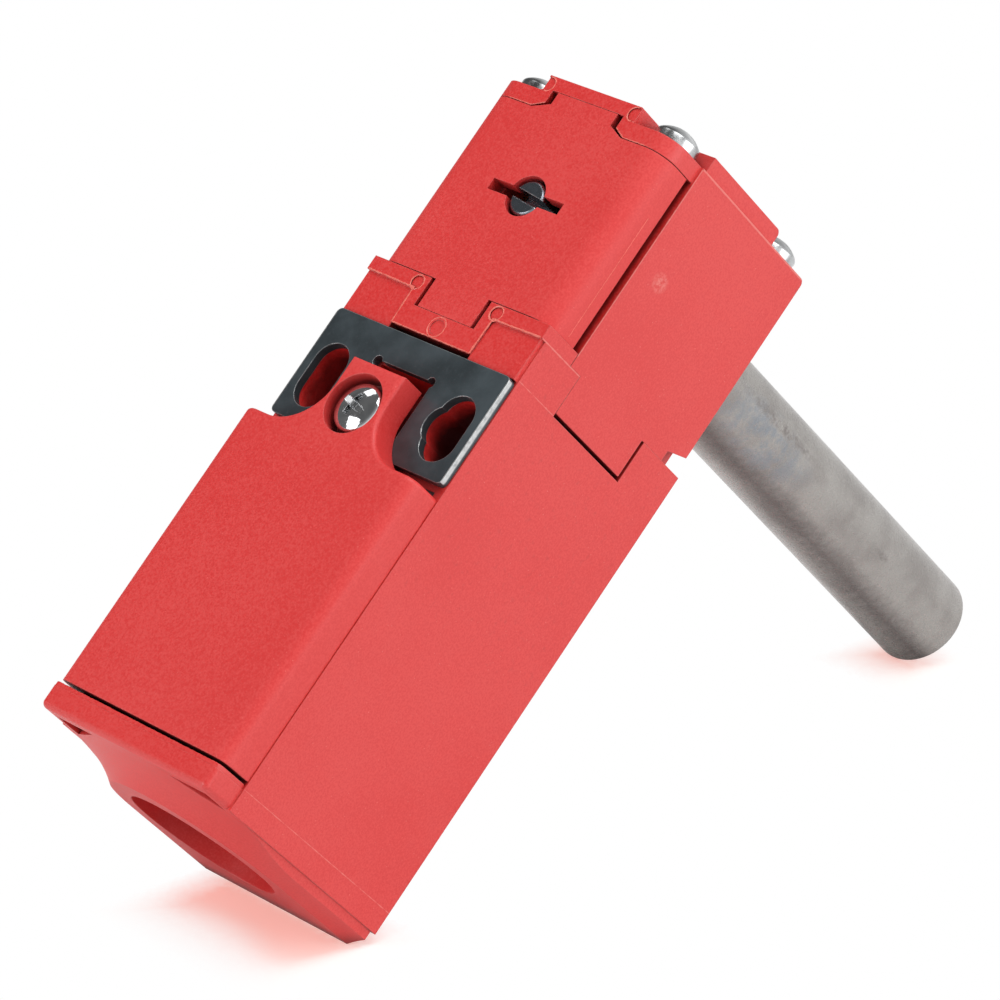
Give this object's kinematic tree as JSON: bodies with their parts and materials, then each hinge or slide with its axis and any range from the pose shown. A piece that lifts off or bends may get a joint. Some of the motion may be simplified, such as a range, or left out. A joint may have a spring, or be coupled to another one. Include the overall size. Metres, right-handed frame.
{
  "type": "safety hinge switch",
  "caption": "Red plastic guard-hinge safety switch with a screwed front cover, slotted steel fixing plate, square head and a steel hinge shaft that drives a cam and contacts.",
  "frame": {"origin": "on the hinge shaft's axis, at the plane of the housing's back face", "axes": "+Y along the shaft away from the head, +Z away from the conduit entry, +X across the width"},
  "size_m": [0.0244, 0.0851, 0.0788],
  "materials": {
    "red_body": "satin moulded plastic",
    "red_cover": "satin moulded plastic",
    "red_head": "satin moulded plastic",
    "red_panel": "satin moulded plastic",
    "rubber": "matte",
    "brass": "bright",
    "bright_screw": "bright plated",
    "dark_plate": "black oxide",
    "shaft_steel": "turned steel, dull",
    "inner_steel": "turned steel, dull",
    "spring_steel": "turned steel, dull",
    "inner_plastic": "matte moulded plastic"
  },
  "bodies": {
    "housing": {"housing": "red_body", "front_cover": "red_cover", "cover_gasket": "rubber", "cover_insert": "brass", "cover_screw": "bright_screw", "mounting_plate": "dark_plate", "head_housing": "red_head", "head_front_panel": "red_panel", "head_screws": "bright_screw", "head_gasket": "rubber", "shaft_bush_rear": "brass", "shaft_bush_front": "brass", "shaft_seal": "rubber", "plunger_guide": "brass", "plunger_seal": "rubber", "contact_block": "inner_plastic", "fixed_contacts": "brass", "terminal_clamps": "inner_steel", "terminal_screws": "inner_steel"},
    "shaft": {"shaft": "shaft_steel", "cam": "inner_steel", "cam_pin": "inner_steel", "retaining_ring": "inner_steel"},
    "plunger": {"plunger": "inner_steel", "bridge_carrier": "inner_plastic", "contact_bridges": "brass", "contact_springs": "spring_steel", "return_spring": "spring_steel"}
  },
  "joints": [
    {"name": "shaft_turn", "type": "hinge", "parent": "housing", "child": "shaft", "pos_m": [0, 0, 0], "axis": [0, 1, 0], "range_deg": [0, 180]},
    {"name": "plunger_slide", "type": "slide", "parent": "housing", "child": "plunger", "axis": [0, 0, -1], "range_m": [0, 0.0022], "deforming": ["return_spring"]}
  ],
  "couplings": [
    {"joint": "plunger_slide", "follows": "shaft_turn", "m_per_rad": 0.00070028}
  ]
}
